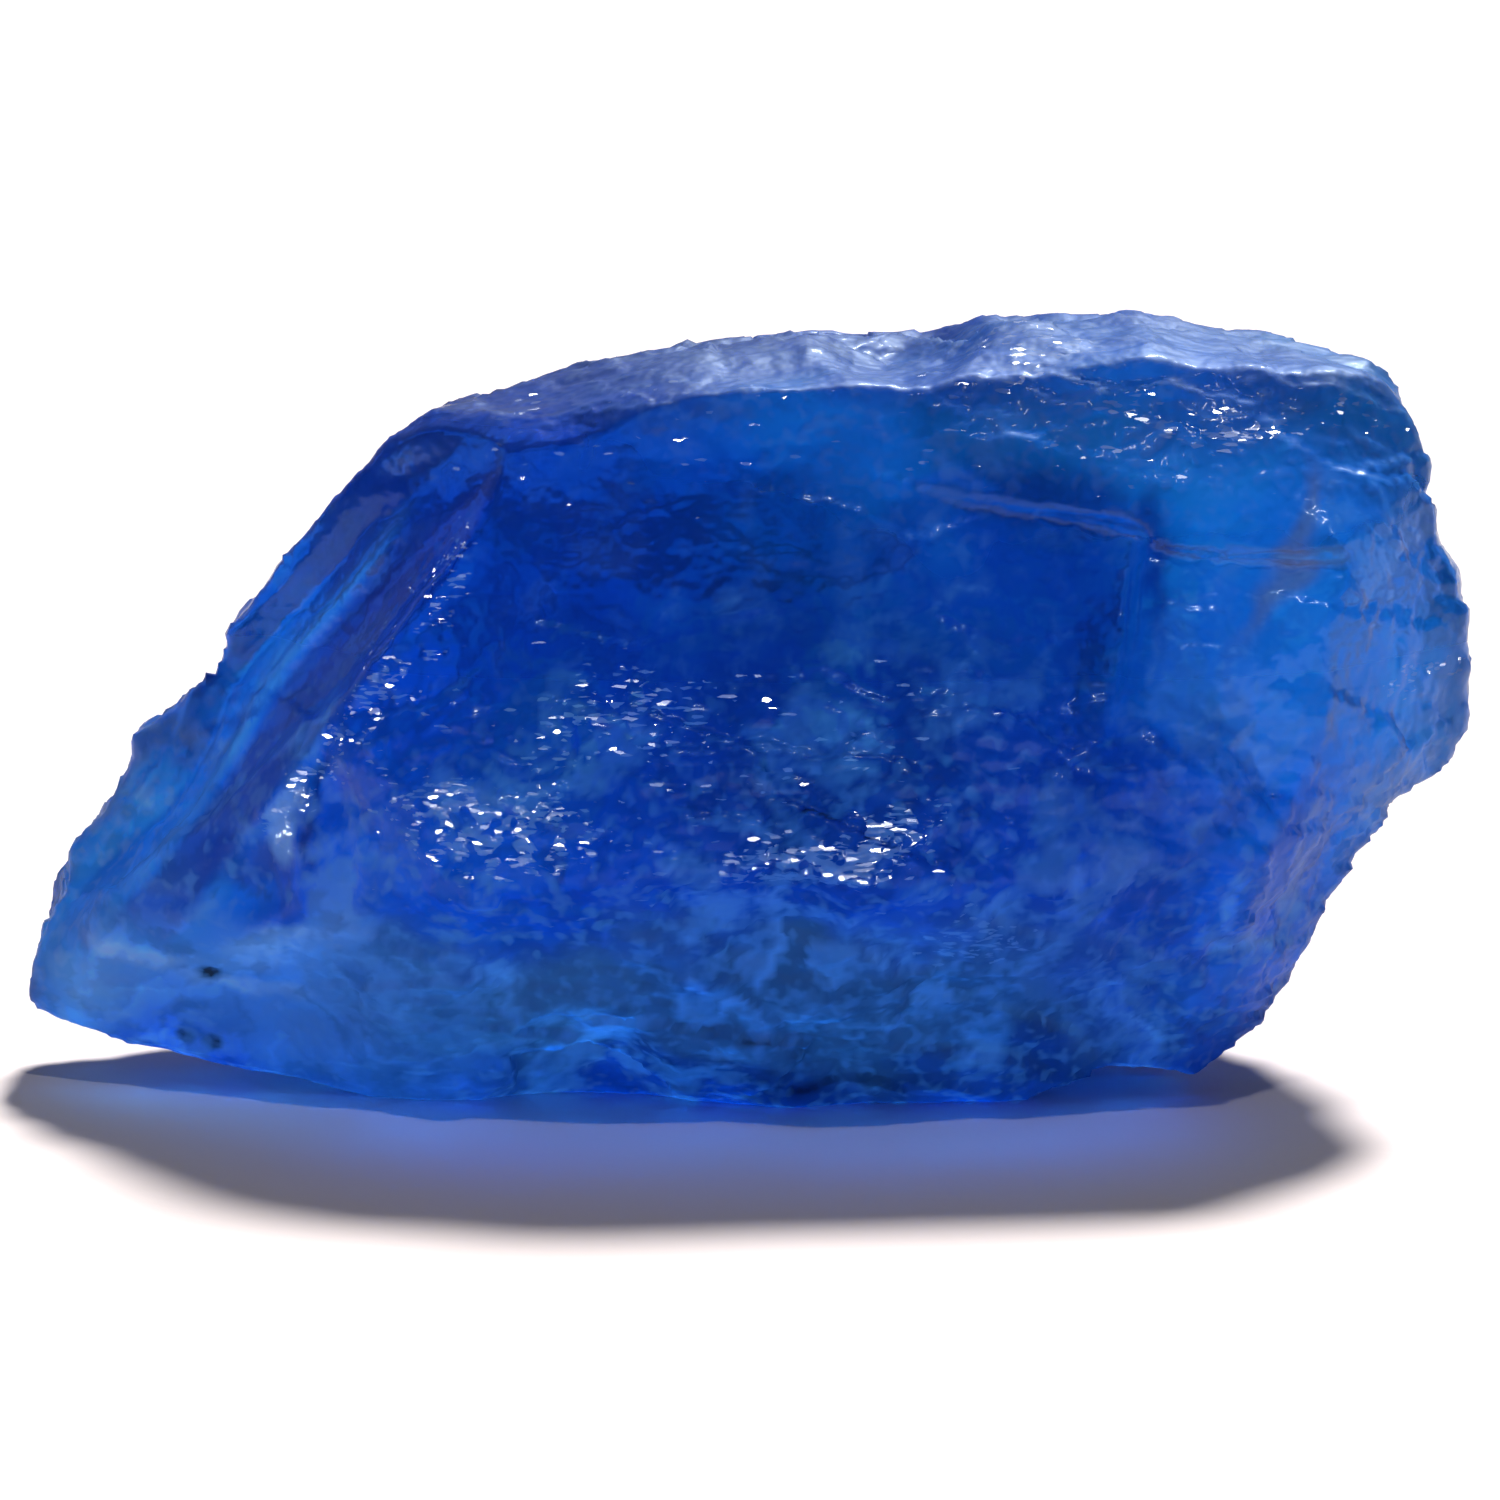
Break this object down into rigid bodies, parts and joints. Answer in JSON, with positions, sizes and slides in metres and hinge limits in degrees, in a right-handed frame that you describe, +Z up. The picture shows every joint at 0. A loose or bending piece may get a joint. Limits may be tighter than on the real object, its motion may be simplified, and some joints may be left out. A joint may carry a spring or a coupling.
{
  "type": "rough hauyne",
  "caption": "Rough broken piece of blue, glassy hauyne with flake scars, stepped ledges and a small flat spot that it rests on.",
  "frame": {"origin": "on the flat spot that the piece rests on, under the middle of its box", "axes": "+X along the piece, from its thin left tip to its blunt right end; +Z up; -Y out of its best side"},
  "size_m": [0.012, 0.0062, 0.0064],
  "materials": {
    "hauyne": "glassy blue crystal, smooth on its flake scars and frosted where it broke in fine steps"
  },
  "bodies": {
    "root": {"hauyne": "hauyne"}
  },
  "joints": []
}
